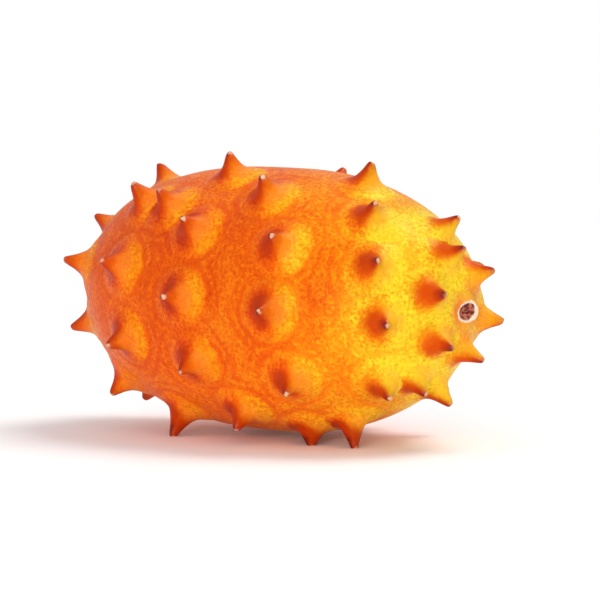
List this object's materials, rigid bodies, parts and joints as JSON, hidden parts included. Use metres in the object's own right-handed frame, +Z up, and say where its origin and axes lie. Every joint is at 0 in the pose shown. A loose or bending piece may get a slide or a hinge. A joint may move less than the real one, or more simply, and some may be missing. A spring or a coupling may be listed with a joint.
{
  "type": "horned melon",
  "caption": "Whole horned melon: a blunt oval fruit with stubby horns on low mounds and a corky scar at each end, lying on horns worn flat.",
  "frame": {"origin": "centre of the fruit's outline on the floor it lies on", "axes": "+X along the fruit towards the stem scar, -Y towards the front, +Z up"},
  "size_m": [0.1265, 0.0828, 0.076],
  "materials": {
    "skin": "half-glossy orange rind, yellower at the stem end, with redder horns"
  },
  "bodies": {
    "root": {"horned_melon": "skin"}
  },
  "joints": []
}
